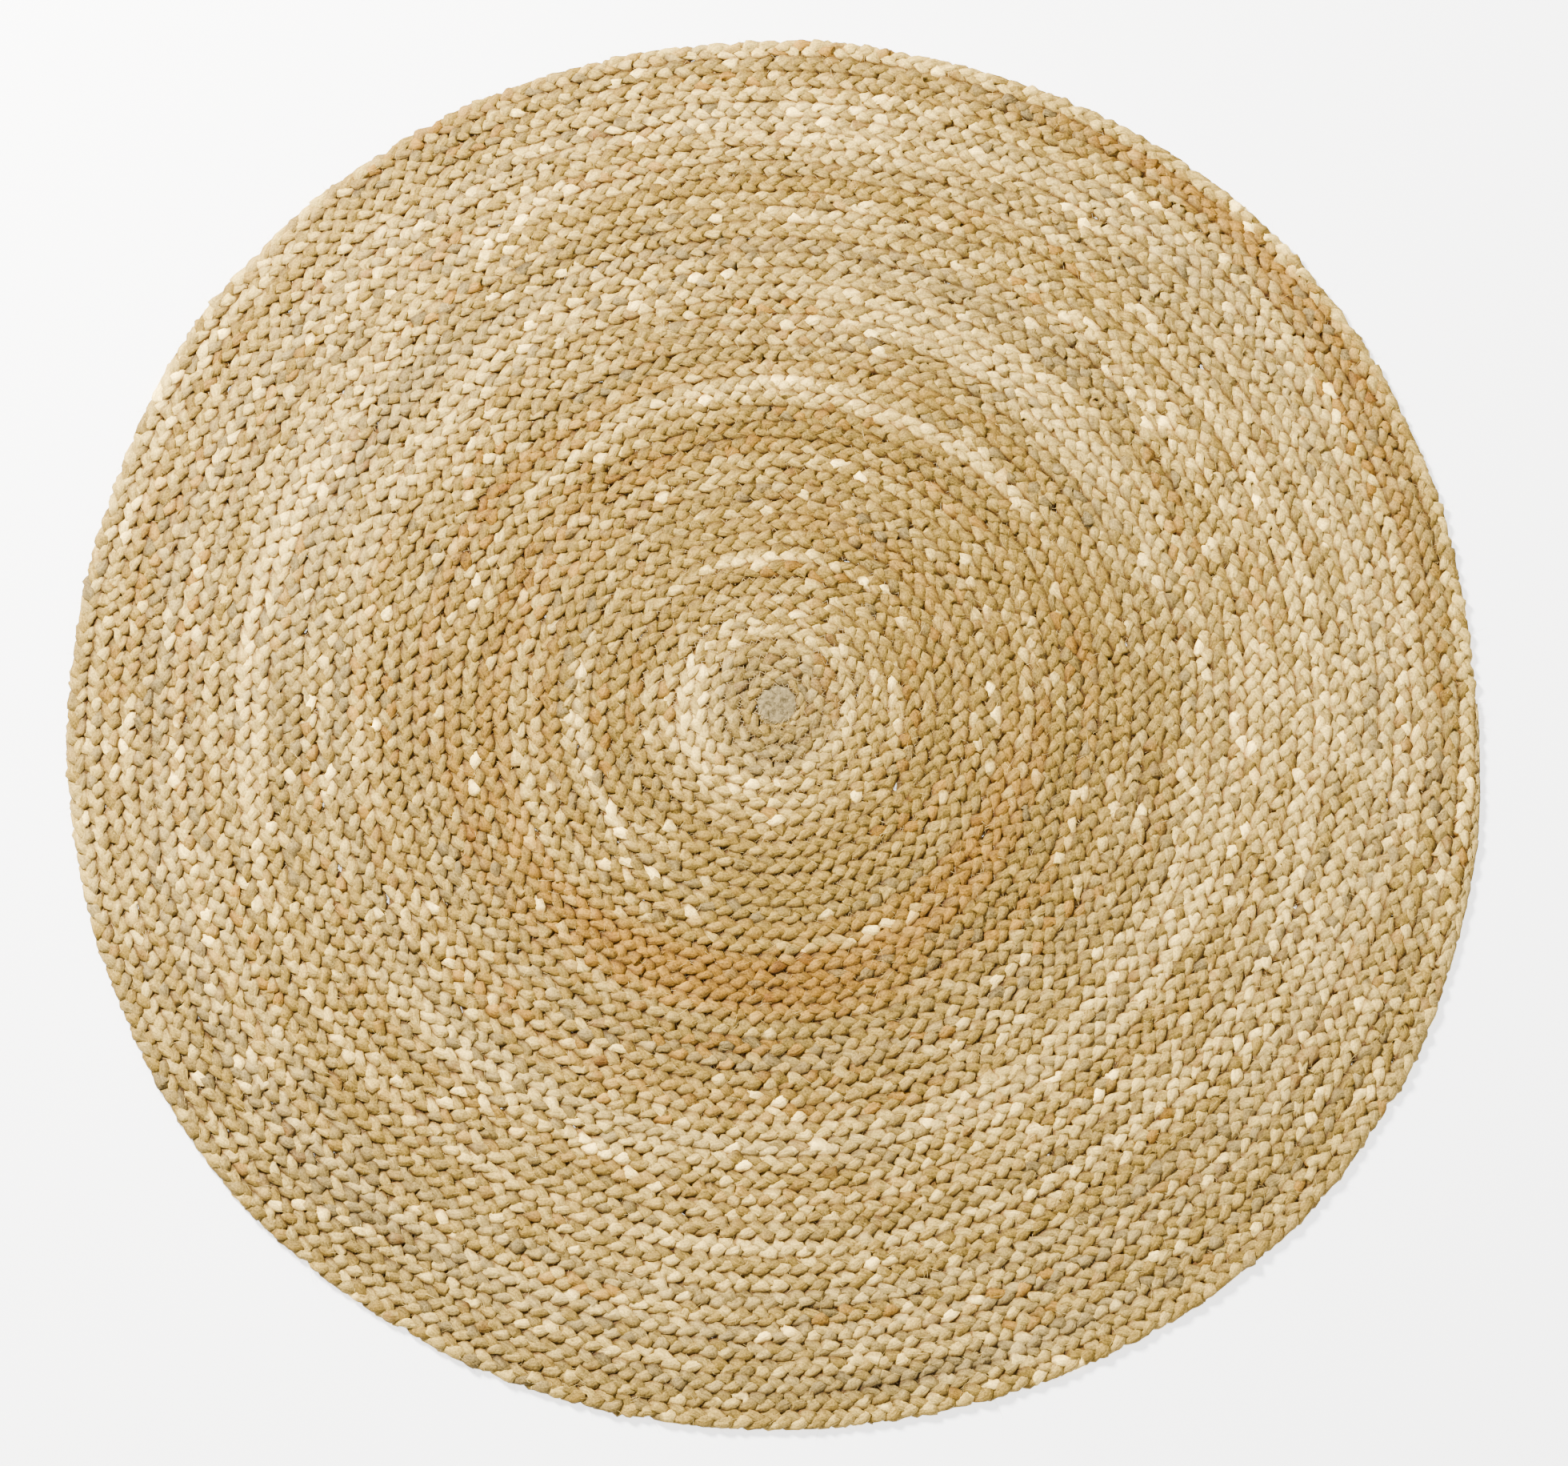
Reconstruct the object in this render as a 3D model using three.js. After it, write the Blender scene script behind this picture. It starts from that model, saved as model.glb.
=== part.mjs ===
// A round area rug of natural jute. One flat plait of three strands is wound outwards, anticlockwise
// seen from above, round a felted centre button. Each turn is sewn to the turn before it with a zigzag
// lockstitch: the needle thread lies in the groove on top, the bobbin thread in the groove underneath.
// The plait is worked in lengths that are spliced end to end, and each length is a solid of its own.
// Millimetres, +Z up. The origin is the middle of the rug's outline, on the face that meets the floor.
import * as THREE from "three";

// Driving dimensions.
const RUG_DIAMETER = 1500; // across the outer turn, on average
const BRAID_WIDTH = 16.9; // side to side of one turn of the plait
const BRAID_THICKNESS = 9;
const EDGE_ROUND = 3.6; // how far the plait's rounded side runs in from its widest point
const SEAM_GAP = 0.4; // between one turn and the next
const BUTTON_RADIUS = 21; // the felted start that the first turn is wound round
const BUTTON_SINK = 0.2; // the button's two faces lie this far inside the plait's
const BUTTON_ROUND = 3; // how far the button's rounded rim runs in
const TIP_WIDTH = 3; // the plait starts and ends this narrow
const TIP_FLAT = 1; // flat left between the two rounded sides where the plait is narrowest
const TAIL_TAPER = 380; // length over which the tail thins out against the turn before it
const TAIL_AZIMUTH = 0; // direction of the tail's end, anticlockwise from +X
const SQUARENESS = 0.006; // the outline bulges at its diagonals by this share of its radius
const LENGTH_WORKED = 10000; // plait worked in one length before the next is spliced on
const SPLICE_GAP = 0.4; // between two lengths, end to end
const THREAD_SINK = 1; // the stitches lie this far below the plait's face
const THREAD_LAYER = 1; // thickness of the layer that the stitches take up
const GROOVE_CLEARANCE = 0.4; // between the stitches and each side of their groove

// How finely the turns are faceted. All turns share the same directions, so that their facets nest.
// A rug of more turns takes fewer facets in each.
const FINE_STEP = (2 * Math.PI) / (RUG_DIAMETER / BRAID_WIDTH > 100 ? 20 : 24);
const COARSE_STEP = 2 * FINE_STEP;
const COARSE_BELOW = 110; // turns inside this radius take the coarse step

// The winding. An azimuth counts on from turn to turn, and the outer edge grows by one pitch a turn.
const TURN = 2 * Math.PI;
const pitch = BRAID_WIDTH + SEAM_GAP;
const firstInnerEdge = BUTTON_RADIUS + SEAM_GAP;
const lastOuterEdge = (RUG_DIAMETER + pitch) / 2;
const windingAngle = (TURN * (lastOuterEdge - firstInnerEdge)) / pitch;
const tailEnd = TURN * Math.ceil(windingAngle / TURN) + TAIL_AZIMUTH;
const windingZero = tailEnd - windingAngle; // where the outer edge would leave the button

const fullOuterEdge = (azimuth) => firstInnerEdge + (pitch * (azimuth - windingZero)) / TURN;
const innerEdge = (azimuth) => Math.max(fullOuterEdge(azimuth) - BRAID_WIDTH, firstInnerEdge);
const tailStart = tailEnd - TAIL_TAPER / lastOuterEdge;
const fullyRounded = 2 * EDGE_ROUND + TIP_FLAT; // the least width with both sides fully rounded

// Side to side of the plait: it widens over its first turn and thins out over its tail.
function plaitWidth(azimuth) {
  const width = fullOuterEdge(azimuth) - innerEdge(azimuth);
  const along = Math.max(0, (azimuth - tailStart) / (tailEnd - tailStart));
  return THREE.MathUtils.lerp(width, TIP_WIDTH, along);
}

// A point at a distance from the winding's axis, on the slightly square outline.
function place(azimuth, radius, height) {
  const reach = radius * (1 - SQUARENESS * Math.cos(4 * azimuth));
  return [reach * Math.cos(azimuth), reach * Math.sin(azimuth), height];
}

// The azimuths of the plait's cross sections, from its start to its tail.
function ringAzimuths() {
  const start = windingZero + (TURN * TIP_WIDTH) / pitch;
  const rings = [Math.ceil(start / COARSE_STEP) * COARSE_STEP];
  while (rings.at(-1) < tailEnd - FINE_STEP / 2) {
    const here = rings.at(-1);
    rings.push(here + (fullOuterEdge(here) < COARSE_BELOW ? COARSE_STEP : FINE_STEP));
  }
  return rings;
}

// A straight bar of the given section, laid along the rings. In the section, x is the height and y is
// what placeAt reads as the way outwards.
function laidBar(section, rings, placeAt) {
  const steps = rings.length - 1;
  const bar = new THREE.ExtrudeGeometry(new THREE.Shape(section), {
    depth: steps,
    steps,
    bevelEnabled: false,
  });
  const points = bar.getAttribute("position");
  for (let i = 0; i < points.count; i++) {
    const azimuth = rings[Math.round(points.getZ(i))];
    points.setXYZ(i, ...placeAt(azimuth, points.getY(i), points.getX(i)));
  }
  bar.computeVertexNormals();
  return bar;
}

function material(colour, roughness) {
  return new THREE.MeshStandardMaterial({ color: colour, roughness, metalness: 0 });
}

const juteFinish = material(0xcdb283, 0.85);
const feltFinish = material(0xbcae93, 0.95);
const threadFinish = material(0xd9bf8a, 0.6);

const rug = new THREE.Group();

function add(name, geometry, finish) {
  const mesh = new THREE.Mesh(geometry, finish);
  mesh.name = name;
  rug.add(mesh);
}

// The centre button: a felted disc with a rounded rim, seen in section from its axis outwards.
function centreButton() {
  const bottom = BUTTON_SINK;
  const top = BRAID_THICKNESS - BUTTON_SINK;
  const profile = [
    new THREE.Vector2(0, bottom),
    new THREE.Vector2(BUTTON_RADIUS - BUTTON_ROUND, bottom),
    new THREE.Vector2(BUTTON_RADIUS, BRAID_THICKNESS / 2),
    new THREE.Vector2(BUTTON_RADIUS - BUTTON_ROUND, top),
    new THREE.Vector2(0, top),
  ];
  const disc = new THREE.LatheGeometry(profile, Math.round(TURN / COARSE_STEP), Math.PI / 2);
  return disc.rotateX(Math.PI / 2);
}

// The length of plait wound between its start and an azimuth, and the reverse.
const middleAtZero = firstInnerEdge - BRAID_WIDTH / 2;
function lengthWound(azimuth) {
  const wound = azimuth - windingZero;
  return middleAtZero * wound + (pitch * wound * wound) / (2 * TURN);
}
function azimuthAtLength(length) {
  const root = Math.sqrt(middleAtZero * middleAtZero + (2 * pitch * length) / TURN);
  return windingZero + (TURN * (root - middleAtZero)) / pitch;
}

// How far out a point of the plait's section lies, from the inner edge. Where the plait is narrow,
// the flat between its two sides shrinks first, and its sides get steeper after that.
function acrossPlait(azimuth, out) {
  const width = plaitWidth(azimuth);
  const round = Math.min(EDGE_ROUND, (width - TIP_FLAT) / 2);
  const fromEdge = (Math.min(out, BRAID_WIDTH - out) * round) / EDGE_ROUND;
  return out < BRAID_WIDTH / 2 ? fromEdge : width - fromEdge;
}

// One length of the plait, between two of the rings. A half splice gap is left at each spliced end.
function plaitLength(rings, splicedAtStart, splicedAtEnd) {
  const section = [
    [0, EDGE_ROUND],
    [BRAID_THICKNESS / 2, 0],
    [BRAID_THICKNESS, EDGE_ROUND],
    [BRAID_THICKNESS, BRAID_WIDTH - EDGE_ROUND],
    [BRAID_THICKNESS / 2, BRAID_WIDTH],
    [0, BRAID_WIDTH - EDGE_ROUND],
  ].map(([height, out]) => new THREE.Vector2(height, out));
  const trim = (azimuth) => SPLICE_GAP / 2 / innerEdge(azimuth);
  const ends = [...rings];
  if (splicedAtStart) ends[0] += trim(ends[0]);
  if (splicedAtEnd) ends[ends.length - 1] -= trim(ends.at(-1));
  return laidBar(section, ends, (azimuth, out, height) =>
    place(azimuth, innerEdge(azimuth) + acrossPlait(azimuth, out), height),
  );
}

// The whole plait as lengths of about LENGTH_WORKED, each cut at the ring nearest its true end.
function plaitLengths(rings) {
  const whole = lengthWound(tailEnd);
  const count = Math.max(1, Math.round(whole / LENGTH_WORKED));
  const cuts = [0];
  for (let i = 1; i < count; i++) {
    const wanted = azimuthAtLength((whole * i) / count);
    cuts.push(rings.findIndex((azimuth) => azimuth >= wanted));
  }
  cuts.push(rings.length - 1);
  for (let i = 0; i < count; i++) {
    const name = "braid_length_" + String(i + 1).padStart(2, "0");
    const part = rings.slice(cuts[i], cuts[i + 1] + 1);
    add(name, plaitLength(part, i > 0, i < count - 1), juteFinish);
  }
}

// The layer of zigzag stitches in the groove between each turn and the next. The height of its flat
// side and of its ridge are counted from the floor.
function seamThread(rings, flatHeight, ridgeHeight) {
  const share = 1 - (2 * THREAD_SINK) / BRAID_THICKNESS;
  const halfWidth = SEAM_GAP / 2 + EDGE_ROUND * share - GROOVE_CLEARANCE;
  const section = [
    [flatHeight, -halfWidth],
    [ridgeHeight, 0],
    [flatHeight, halfWidth],
  ].map(([height, out]) => new THREE.Vector2(height, out));
  const grooved = (azimuth) => plaitWidth(azimuth) >= fullyRounded;
  const seams = rings.filter(
    (azimuth) => azimuth >= rings[0] + TURN && grooved(azimuth) && grooved(azimuth - TURN),
  );
  return laidBar(section, seams, (azimuth, out, height) =>
    place(azimuth, fullOuterEdge(azimuth - TURN) + SEAM_GAP / 2 + out, height),
  );
}

const rings = ringAzimuths();
add("centre_button", centreButton(), feltFinish);
plaitLengths(rings);
const stitchDepth = THREAD_SINK + THREAD_LAYER;
add(
  "needle_thread",
  seamThread(rings, BRAID_THICKNESS - THREAD_SINK, BRAID_THICKNESS - stitchDepth),
  threadFinish,
);
add("bobbin_thread", seamThread(rings, THREAD_SINK, stitchDepth), threadFinish);

// The winding's axis isn't quite the middle of the outline, because the last turn grows as it goes.
const middle = new THREE.Box3().setFromObject(rug).getCenter(new THREE.Vector3());
rug.position.set(-middle.x, -middle.y, 0);

export default rug;
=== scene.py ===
"""A round rug of plaited jute: strands, stitches, felted centre, loose fibres, and its studio."""

import math

import bmesh
import bpy
import numpy as np
from bpy.props import FloatProperty, FloatVectorProperty, IntProperty, PointerProperty
from mathutils import Matrix, Vector


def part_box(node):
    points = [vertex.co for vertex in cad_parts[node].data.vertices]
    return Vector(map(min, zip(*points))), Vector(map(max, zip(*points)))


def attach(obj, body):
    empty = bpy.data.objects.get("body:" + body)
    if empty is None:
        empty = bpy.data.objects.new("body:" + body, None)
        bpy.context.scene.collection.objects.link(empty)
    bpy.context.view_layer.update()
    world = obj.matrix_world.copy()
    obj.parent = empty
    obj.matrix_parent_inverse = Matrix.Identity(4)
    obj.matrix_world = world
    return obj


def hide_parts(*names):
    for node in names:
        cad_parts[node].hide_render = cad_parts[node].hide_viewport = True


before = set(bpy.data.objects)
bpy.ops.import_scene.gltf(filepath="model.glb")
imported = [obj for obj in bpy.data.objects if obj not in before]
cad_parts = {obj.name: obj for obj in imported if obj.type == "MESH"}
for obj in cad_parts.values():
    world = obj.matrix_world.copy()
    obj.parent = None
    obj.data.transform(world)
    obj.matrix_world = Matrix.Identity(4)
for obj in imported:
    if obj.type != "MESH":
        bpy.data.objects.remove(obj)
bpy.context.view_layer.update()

bl_info = {
    "name": "Plaited jute rug",
    "version": (1, 0, 0),
    "blender": (4, 5, 0),
    "location": "View3D > Sidebar > Rug",
    "description": "Builds a round rug of plaited jute, strand by strand and stitch by stitch",
    "category": "Add Mesh",
}

TURN = 2 * math.pi
LENGTHS = sorted(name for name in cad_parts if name.startswith("braid_length_"))
FLOOR_GAP = 0.0001  # nothing of the rug reaches lower than this above the floor


# Sizes and colours


class RugSizes(bpy.types.PropertyGroup):
    diameter: FloatProperty(
        name="Diameter",
        description="Across the outer turn, on average",
        default=1.5,
        unit="LENGTH",
    )
    braid_width: FloatProperty(
        name="Plait width", description="Side to side of one turn", default=0.0169, unit="LENGTH"
    )
    braid_thickness: FloatProperty(
        name="Plait thickness",
        description="From the floor to the plait's top",
        default=0.009,
        unit="LENGTH",
    )
    seam_gap: FloatProperty(
        name="Seam gap", description="Between one turn and the next", default=0.0004, unit="LENGTH"
    )
    button_radius: FloatProperty(
        name="Button radius",
        description="Of the felted start that the first turn is wound round",
        default=0.021,
        unit="LENGTH",
    )
    tip_width: FloatProperty(
        name="Tip width",
        description="Of the plait at its start and at its tail's end",
        default=0.003,
        unit="LENGTH",
    )
    tail_taper: FloatProperty(
        name="Tail taper",
        description="Length over which the tail thins out",
        default=0.38,
        unit="LENGTH",
    )
    squareness: FloatProperty(
        name="Squareness",
        description="The outline bulges at its diagonals by this share of its radius",
        default=0.006,
        min=0,
        max=0.05,
    )
    plait_period: FloatProperty(
        name="Plait period",
        description="Length in which each strand crosses over and back once",
        default=0.0545,
        unit="LENGTH",
    )
    strand_swing: FloatProperty(
        name="Strand swing",
        description="How far a strand's middle goes to each side of the plait",
        default=0.0059,
        unit="LENGTH",
    )
    strand_rise: FloatProperty(
        name="Strand rise",
        description="How far a strand's middle goes above and below the plait's middle",
        default=0.0018,
        unit="LENGTH",
    )
    crossing_lag: FloatProperty(
        name="Crossing lag",
        description="How far past the plait's middle a strand goes before it dives under the next",
        default=math.radians(6),
        subtype="ANGLE",
    )
    strand_half_width: FloatProperty(
        name="Strand half width",
        description="Half of a strand's width across its own run",
        default=0.0058,
        unit="LENGTH",
    )
    strand_half_height: FloatProperty(
        name="Strand half height",
        description="Half of a strand's thickness",
        default=0.0027,
        unit="LENGTH",
    )
    stitch_length: FloatProperty(
        name="Stitch length",
        description="Along the seam, from one zigzag to the next",
        default=0.0066,
        unit="LENGTH",
    )
    stitch_reach: FloatProperty(
        name="Stitch reach",
        description="From the seam to each needle hole",
        default=0.0023,
        unit="LENGTH",
    )
    thread_radius: FloatProperty(
        name="Thread radius", description="Of the sewing thread", default=0.00042, unit="LENGTH"
    )
    loose_fibres: IntProperty(
        name="Loose fibres",
        description="Fibre ends that stand out of the top",
        default=12000,
        min=0,
    )
    seed: IntProperty(
        name="Seed", description="Of everything that varies from lobe to lobe", default=7
    )


def colour_property(label, meaning, default):
    return FloatVectorProperty(
        name=label, description=meaning, default=default, subtype="COLOR", size=3, min=0, max=1
    )


class RugColours(bpy.types.PropertyGroup):
    jute: colour_property("Jute", "The usual colour of the strands", (0.272, 0.168, 0.026))
    bleached: colour_property("Bleached jute", "Strands that dried in the sun", (0.95, 0.68, 0.2))
    golden: colour_property("Golden jute", "Strands with more colour", (0.265, 0.125, 0.010))
    grey: colour_property(
        "Grey jute", "Strands that weathered before they were spun", (0.215, 0.152, 0.052)
    )
    rust: colour_property("Rust marks", "Root ends left in the fibre", (0.16, 0.06, 0.004))
    # Painted shade: this tint is multiplied into the colour between lobes and in the seams, where
    # shade falls.
    painted_crevice_shade: colour_property(
        "Crevices", "Tint of the dust and shadow between lobes", (0.19, 0.115, 0.06)
    )
    felt: colour_property("Felt", "The matted centre button", (0.195, 0.145, 0.062))
    thread: colour_property("Thread", "The stitches", (0.42, 0.28, 0.08))
    floor: colour_property("Floor", "The studio floor", (0.95, 0.95, 0.95))


def sizes():
    return bpy.context.scene.rug_sizes


def colours():
    return bpy.context.scene.rug_colours


# The winding that the plait follows, as in the part's own source

WINDING_STATIONS = 30000  # at which the length of the wound plait is added up
# How the sewn turns have settled, along X and along Y. Each ripple has its height, how fast it
# turns with X and with Y, and its phase.
DRIFTS = (
    ((0.0013, 11, 9, 1.3), (0.0006, -17, 31, 0)),
    ((0.0013, 10, -7, 0.4), (0.0006, 27, 23, 2)),
)


class Winding:
    """Azimuths count on from turn to turn, and the outer edge grows by one pitch a turn."""

    def __init__(self, s):
        self.width = s.braid_width
        self.gap = s.seam_gap
        self.pitch = s.braid_width + s.seam_gap
        self.first_inner = s.button_radius + s.seam_gap
        last_outer = (s.diameter + self.pitch) / 2
        wound = TURN * (last_outer - self.first_inner) / self.pitch
        self.tail_end = TURN * math.ceil(wound / TURN)
        self.zero = self.tail_end - wound
        self.tail_start = self.tail_end - s.tail_taper / last_outer
        self.tip_width = s.tip_width
        self.squareness = s.squareness
        low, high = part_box("centre_button")
        self.axis = ((low[0] + high[0]) / 2, (low[1] + high[1]) / 2)
        start = self.zero + TURN * s.tip_width / self.pitch
        self.azimuths = np.linspace(start, self.tail_end, WINDING_STATIONS)
        middles = self.inner(self.azimuths) + self.plait_width(self.azimuths) / 2
        steps = np.diff(self.azimuths) * (middles[1:] + middles[:-1]) / 2
        self.lengths = np.concatenate([[0], np.cumsum(steps)])

    def full_outer(self, azimuth):
        return self.first_inner + self.pitch * (azimuth - self.zero) / TURN

    def inner(self, azimuth):
        return np.maximum(self.full_outer(azimuth) - self.width, self.first_inner)

    def seam(self, azimuth):
        return self.inner(azimuth) - self.gap / 2

    def plait_width(self, azimuth):
        width = self.full_outer(azimuth) - self.inner(azimuth)
        along = np.clip((azimuth - self.tail_start) / (self.tail_end - self.tail_start), 0, 1)
        return width + (self.tip_width - width) * along

    def azimuth_at(self, length):
        return np.interp(length, self.lengths, self.azimuths)

    def place(self, azimuth, radius):
        """The point at a distance from the winding's axis, where the sewn turns have settled."""
        reach = radius * (1 - self.squareness * np.cos(4 * azimuth))
        x = reach * np.cos(azimuth)
        y = reach * np.sin(azimuth)
        drift_x, drift_y = (
            sum(high * np.sin(by_x * x + by_y * y + phase) for high, by_x, by_y, phase in ripples)
            for ripples in DRIFTS
        )
        return self.axis[0] + x + drift_x, self.axis[1] + y + drift_y


def smooth_noise(rng, length, spacing):
    """A function of the distance along the plait that wanders between about -1 and 1."""
    knots = np.arange(-spacing, length + 2 * spacing, spacing)
    values = rng.uniform(-1, 1, len(knots))

    def wander(at):
        place = (at - knots[0]) / spacing
        i = np.clip(place.astype(int), 0, len(knots) - 2)
        share = place - i
        eased = share * share * (3 - 2 * share)
        return values[i] * (1 - eased) + values[i + 1] * eased

    return wander


# Materials


class Line:
    """A value on its way between nodes. Sums of lines add Math nodes."""

    def __init__(self, finish, socket):
        self.finish = finish
        self.socket = socket

    def maths(self, operation, a, b):
        return self.finish.node("ShaderNodeMath", {"operation": operation}, {0: a, 1: b})

    def __add__(self, other):
        return self.maths("ADD", self, other)

    __radd__ = __add__

    def __mul__(self, other):
        return self.maths("MULTIPLY", self, other)

    __rmul__ = __mul__

    def __sub__(self, other):
        return self.maths("SUBTRACT", self, other)

    def __rsub__(self, other):
        return self.maths("SUBTRACT", other, self)


class Finish:
    """A material with its node tree."""

    def __init__(self, name):
        self.material = bpy.data.materials.new(name)
        self.material.use_nodes = True
        self.tree = self.material.node_tree
        self.shader = next(n for n in self.tree.nodes if n.type == "BSDF_PRINCIPLED")

    def feed(self, socket, value):
        if isinstance(value, Line):
            self.tree.links.new(value.socket, socket)
        elif hasattr(value, "__len__") and len(value) == 3 and socket.type == "RGBA":
            socket.default_value = (*value, 1)
        else:
            socket.default_value = value

    def node(self, kind, settings=None, inputs=None, output=0):
        made = self.tree.nodes.new(kind)
        for name, value in (settings or {}).items():
            if name == "stops":
                self.set_stops(made.color_ramp, value)
            else:
                setattr(made, name, value)
        for name, value in (inputs or {}).items():
            self.feed(made.inputs[name], value)
        return Line(self, made.outputs[output])

    def set_stops(self, ramp, stops):
        while len(ramp.elements) < len(stops):
            ramp.elements.new(0.5)
        for element, (position, value) in zip(ramp.elements, stops):
            element.position = position
            element.color = (value, value, value, 1)

    def mix(self, factor, a, b, blend="MIX"):
        settings = {"data_type": "RGBA", "blend_type": blend}
        return self.node("ShaderNodeMix", settings, {0: factor, 6: a, 7: b}, 2)

    def noise(self, vector, scale, detail=2, roughness=0.5):
        inputs = {"Vector": vector, "Scale": scale, "Detail": detail, "Roughness": roughness}
        return self.node("ShaderNodeTexNoise", {}, inputs)

    def stretch(self, vector, scale):
        return self.node("ShaderNodeVectorMath", {"operation": "MULTIPLY"}, {0: vector, 1: scale})

    def ramp(self, value, stops):
        return self.node("ShaderNodeValToRGB", {"stops": stops}, {0: value})

    def attribute(self, name, output=2):
        return self.node("ShaderNodeAttribute", {"attribute_name": name}, {}, output)

    def object_place(self):
        return self.node("ShaderNodeTexCoord", {}, {}, 3)

    def surface(self, **values):
        for name, value in values.items():
            words = [word if word.isupper() else word.title() for word in name.split("_")]
            self.feed(self.shader.inputs[" ".join(words)], value)

    def bump(self, height, strength, distance):
        inputs = {"Height": height, "Strength": strength, "Distance": distance}
        self.feed(self.shader.inputs["Normal"], self.node("ShaderNodeBump", {}, inputs))


def strand_finish():
    """Jute roving: fine fibres along the strand, a shade of its own for every lobe, and painted
    shade between lobes.
    """
    c = colours()
    f = Finish("jute_strand")
    along = f.node("ShaderNodeUVMap", {"uv_map": "UVMap"})
    lobe = f.attribute("lobe_light")
    warmth = f.attribute("warmth")
    greyness = f.attribute("greyness")
    rust = f.attribute("rust")
    fibres = f.noise(f.stretch(along, (24, 7, 1)), 1, 3, 0.65)
    wisps = f.noise(f.stretch(along, (11, 3.2, 1)), 1, 2, 0.5)
    # Painted shade: how deep between lobes or in a seam each point lies.
    recess = f.attribute("recess")
    blotch = f.noise(f.object_place(), 95, 3, 0.6)
    grain = f.noise(f.object_place(), 520, 3, 0.7)
    pale = f.ramp(0.72 * lobe + 0.35 * (wisps - 0.5), [(0.28, 0.0), (1.0, 1.0)])
    colour = f.mix(pale, c.jute[:], c.bleached[:])
    gilt = f.ramp(warmth + 0.5 * (wisps - 0.5), [(0.3, 0.0), (1.0, 0.9)])
    colour = f.mix(gilt, colour, c.golden[:])
    worn = f.ramp(greyness + 0.5 * (blotch - 0.5), [(0.3, 0.0), (1.0, 0.85)])
    colour = f.mix(worn, colour, c.grey[:])
    stain = f.ramp(rust + 0.9 * (blotch - 0.5), [(0.35, 0.0), (0.8, 0.85)])
    colour = f.mix(stain, colour, c.rust[:])
    streaks = 1.3 * (fibres - 0.5) + 0.6 * (wisps - 0.5) + 2.1 * (grain - 0.5)
    shade = 0.67 + 0.46 * lobe + streaks
    shade = f.node("ShaderNodeClamp", {}, {0: shade, 1: 0.2, 2: 1.8})
    colour = f.node("ShaderNodeVectorMath", {"operation": "SCALE"}, {0: colour, 3: shade})
    # Painted shade: the colour is darkened towards the crevice tint between lobes and in the seams.
    colour = f.mix(0.95 * recess, colour, c.painted_crevice_shade[:], "MULTIPLY")
    roughness = 0.62 - 0.25 * (fibres - 0.5)
    f.surface(base_color=colour, roughness=roughness, specular_IOR_level=0.12)
    f.bump(fibres + 0.6 * wisps + 0.9 * grain, 0.9, 0.0009)
    return f.material


def felt_finish():
    """Matted fibre, greyer than the strands, with paler and darker wisps."""
    c = colours()
    f = Finish("matted_felt")
    place = f.object_place()
    clumps = f.noise(place, 150, 4, 0.65)
    wisps = f.noise(f.stretch(place, (1, 1, 0.4)), 600, 3, 0.7)
    dark = tuple(0.5 * v for v in c.felt)
    light = tuple(min(1, 1.45 * v) for v in c.felt)
    colour = f.mix(f.ramp(clumps, [(0.3, 0.0), (0.62, 1.0)]), dark, c.felt[:])
    colour = f.mix(f.ramp(wisps, [(0.45, 0.0), (0.75, 1.0)]), colour, light)
    f.surface(base_color=colour, roughness=0.92, specular_IOR_level=0.15)
    f.bump(clumps + 0.5 * wisps, 0.7, 0.0012)
    return f.material


def thread_finish():
    """Two-ply sewing thread in the colour of the jute."""
    c = colours()
    f = Finish("sewing_thread")
    place = f.object_place()
    ply = f.noise(place, 900, 2, 0.5)
    dye = f.noise(place, 14, 2, 0.5)
    dark = tuple(0.66 * v for v in c.thread)
    colour = f.mix(f.ramp(ply + 0.4 * (dye - 0.5), [(0.3, 0.0), (0.62, 1.0)]), dark, c.thread[:])
    f.surface(base_color=colour, roughness=0.5 + 0.2 * ply, sheen_weight=0.15)
    f.bump(ply, 0.5, 0.0003)
    return f.material


def fibre_finish():
    """Single jute fibres, paler than the strands that they stand out of."""
    c = colours()
    f = Finish("loose_fibre")
    tone = f.noise(f.object_place(), 70, 2, 0.6)
    pale = f.ramp(tone, [(0.35, 0.0), (0.65, 1.0)])
    colour = f.mix(pale, c.jute[:], c.bleached[:])
    f.surface(base_color=colour, roughness=0.6 - 0.2 * (tone - 0.5), sheen_weight=0.1)
    f.bump(tone, 0.1, 0.0002)
    return f.material


def floor_finish():
    """A seamless pale studio floor."""
    f = Finish("studio_floor")
    grain = f.noise(f.object_place(), 3, 2, 0.5)
    light = colours().floor[:]
    dim = tuple(0.985 * v for v in light)
    tone = f.mix(grain, dim, light)
    f.surface(base_color=tone, roughness=0.8, emission_strength=2.0, emission_color=(1, 1, 1))
    return f.material


def finish_named(name, make):
    """One finish is shared by every piece that has it."""
    return bpy.data.materials.get(name) or make()


# Pieces


def new_piece(name, mesh, finish, nodes):
    """Puts a finished mesh into the scene as a piece that rides on the rug."""
    piece = bpy.data.objects.new(name, mesh)
    bpy.context.scene.collection.objects.link(piece)
    mesh.materials.clear()
    mesh.materials.append(finish)
    mesh.polygons.foreach_set("use_smooth", np.ones(len(mesh.polygons), dtype=bool))
    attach(piece, "root")
    for node in nodes:
        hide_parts(node)
    return piece


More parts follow.
